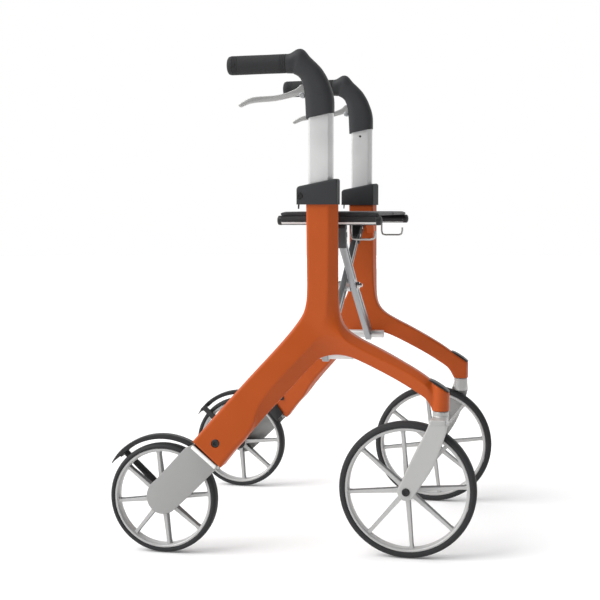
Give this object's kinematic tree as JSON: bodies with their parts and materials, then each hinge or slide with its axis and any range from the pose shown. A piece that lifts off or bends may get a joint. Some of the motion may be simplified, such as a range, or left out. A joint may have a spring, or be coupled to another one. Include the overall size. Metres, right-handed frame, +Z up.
{
  "type": "rollator walker",
  "caption": "Folding rollator walker: two splayed side frames, cross-fold linkage, sling seat, large spoked wheels, front casters, height-adjustable handles and brake levers.",
  "frame": {"origin": "on the floor, at the centre of the bounding box's base", "axes": "+X the way the walker rolls forwards, +Y its left side, +Z up"},
  "size_m": [0.6833, 0.604, 0.9343],
  "materials": {
    "orange": "satin",
    "dark_plastic": "matte",
    "grip_rubber": "matte",
    "aluminium": "satin",
    "satin_silver": "satin",
    "tyre": "matte",
    "steel": "satin",
    "fabric": "woven"
  },
  "bodies": {
    "right_frame": {"right_side_frame": "orange", "right_column_collar": "dark_plastic", "right_pivot_tube": "aluminium", "right_rear_bracket": "satin_silver", "right_bracket_bolt": "dark_plastic", "right_kerb_climber": "dark_plastic", "right_rear_axle": "dark_plastic", "right_caster_cap": "dark_plastic", "right_seat_rest": "dark_plastic"},
    "right_handle": {"right_handle_tube": "aluminium", "right_handle_neck": "dark_plastic", "right_grip": "grip_rubber", "right_lever_pin": "steel"},
    "right_lever": {"right_brake_lever": "aluminium"},
    "right_latch": {"right_height_latch": "dark_plastic"},
    "right_shoe": {"right_brake_shoe": "dark_plastic"},
    "right_rear_wheel": {"right_rear_tyre": "tyre", "right_rear_rim": "satin_silver"},
    "right_caster": {"right_caster_fork": "satin_silver", "right_front_axle": "dark_plastic"},
    "right_front_wheel": {"right_front_tyre": "tyre", "right_front_rim": "satin_silver"},
    "right_seat": {"right_seat_panel": "fabric", "right_seat_flap": "fabric"},
    "left_frame": {"left_side_frame": "orange", "left_column_collar": "dark_plastic", "left_pivot_tube": "aluminium", "left_rear_bracket": "satin_silver", "left_bracket_bolt": "dark_plastic", "left_kerb_climber": "dark_plastic", "left_rear_axle": "dark_plastic", "left_caster_cap": "dark_plastic", "left_seat_rest": "dark_plastic"},
    "left_handle": {"left_handle_tube": "aluminium", "left_handle_neck": "dark_plastic", "left_grip": "grip_rubber", "left_lever_pin": "steel"},
    "left_lever": {"left_brake_lever": "aluminium"},
    "left_latch": {"left_height_latch": "dark_plastic"},
    "left_shoe": {"left_brake_shoe": "dark_plastic"},
    "left_rear_wheel": {"left_rear_tyre": "tyre", "left_rear_rim": "satin_silver"},
    "left_caster": {"left_caster_fork": "satin_silver", "left_front_axle": "dark_plastic"},
    "left_front_wheel": {"left_front_tyre": "tyre", "left_front_rim": "satin_silver"},
    "left_seat": {"left_seat_panel": "fabric", "left_seat_flap": "fabric"},
    "bar_b": {"cross_bar_b": "aluminium", "bar_bracket_b": "dark_plastic", "cross_pivot": "steel", "left_seat_rail": "aluminium", "left_basket_hook": "steel"},
    "bar_a": {"cross_bar_a": "aluminium", "bar_bracket_a": "dark_plastic", "right_seat_rail": "aluminium", "right_basket_hook": "steel"}
  },
  "joints": [
    {"name": "fold", "type": "hinge", "parent": "right_frame", "child": "bar_b", "pos_m": [0.0542, -0.197, 0.37], "axis": [1, 0, 0], "range_deg": [0, 52]},
    {"name": "cross_turn", "type": "hinge", "parent": "bar_b", "child": "bar_a", "pos_m": [0.0642, 0, 0.48871], "axis": [1, 0, 0], "range_deg": [-104, 0]},
    {"name": "left_fold", "type": "hinge", "parent": "bar_a", "child": "left_frame", "pos_m": [0.0742, 0.197, 0.37], "axis": [1, 0, 0], "range_deg": [0, 52]},
    {"name": "right_seat_fold", "type": "hinge", "parent": "bar_a", "child": "right_seat", "pos_m": [0.06, -0.197, 0.6215], "axis": [1, 0, 0], "range_deg": [0, 135.2], "deforming": ["right_seat_flap"]},
    {"name": "left_seat_fold", "type": "hinge", "parent": "bar_b", "child": "left_seat", "pos_m": [0.06, 0.197, 0.6215], "axis": [1, 0, 0], "range_deg": [-135.2, 0], "deforming": ["left_seat_flap"]},
    {"name": "right_caster_swivel", "type": "hinge", "parent": "right_frame", "child": "right_caster", "pos_m": [0.2738, -0.2265, 0.2735], "axis": [0, 0, 1], "continuous": true},
    {"name": "right_front_spin", "type": "hinge", "parent": "right_caster", "child": "right_front_wheel", "pos_m": [0.2142, -0.2288, 0.1275], "axis": [0, 1, 0], "continuous": true},
    {"name": "right_rear_spin", "type": "hinge", "parent": "right_frame", "child": "right_rear_wheel", "pos_m": [-0.2376, -0.2828, 0.1033], "axis": [0, 1, 0], "continuous": true},
    {"name": "right_handle_height", "type": "slide", "parent": "right_frame", "child": "right_handle", "axis": [0, 0, 1], "range_m": [-0.115, 0]},
    {"name": "right_brake_squeeze", "type": "hinge", "parent": "right_handle", "child": "right_lever", "pos_m": [0.0255, -0.2335, 0.858], "axis": [0, 1, 0], "range_deg": [0, 18], "stiffness_Nm_per_rad": 1, "springref_deg": -28.65},
    {"name": "right_latch_pull", "type": "hinge", "parent": "right_frame", "child": "right_latch", "pos_m": [0.0167, -0.2335, 0.6665], "axis": [0, 1, 0], "range_deg": [0, 18], "stiffness_Nm_per_rad": 0.05, "springref_deg": -28.65},
    {"name": "right_shoe_press", "type": "slide", "parent": "right_frame", "child": "right_shoe", "axis": [-0.766, 0, -0.6428], "range_m": [0, 0.001]},
    {"name": "left_caster_swivel", "type": "hinge", "parent": "left_frame", "child": "left_caster", "pos_m": [0.2738, 0.2265, 0.2735], "axis": [0, 0, 1], "continuous": true},
    {"name": "left_front_spin", "type": "hinge", "parent": "left_caster", "child": "left_front_wheel", "pos_m": [0.2142, 0.2288, 0.1275], "axis": [0, 1, 0], "continuous": true},
    {"name": "left_rear_spin", "type": "hinge", "parent": "left_frame", "child": "left_rear_wheel", "pos_m": [-0.2376, 0.2828, 0.1033], "axis": [0, 1, 0], "continuous": true},
    {"name": "left_handle_height", "type": "slide", "parent": "left_frame", "child": "left_handle", "axis": [0, 0, 1], "range_m": [-0.115, 0]},
    {"name": "left_brake_squeeze", "type": "hinge", "parent": "left_handle", "child": "left_lever", "pos_m": [0.0255, 0.2335, 0.858], "axis": [0, 1, 0], "range_deg": [0, 18], "stiffness_Nm_per_rad": 1, "springref_deg": -28.65},
    {"name": "left_latch_pull", "type": "hinge", "parent": "left_frame", "child": "left_latch", "pos_m": [0.0167, 0.2335, 0.6665], "axis": [0, 1, 0], "range_deg": [0, 18], "stiffness_Nm_per_rad": 0.05, "springref_deg": -28.65},
    {"name": "left_shoe_press", "type": "slide", "parent": "left_frame", "child": "left_shoe", "axis": [-0.766, 0, -0.6428], "range_m": [0, 0.001]}
  ],
  "couplings": [
    {"joint": "cross_turn", "follows": "fold", "ratio": -2},
    {"joint": "left_fold", "follows": "fold", "ratio": 1},
    {"joint": "right_seat_fold", "follows": "fold", "ratio": 2.6},
    {"joint": "left_seat_fold", "follows": "fold", "ratio": -2.6},
    {"joint": "right_shoe_press", "follows": "right_brake_squeeze", "m_per_rad": 0.0031},
    {"joint": "left_shoe_press", "follows": "left_brake_squeeze", "m_per_rad": 0.0031}
  ]
}
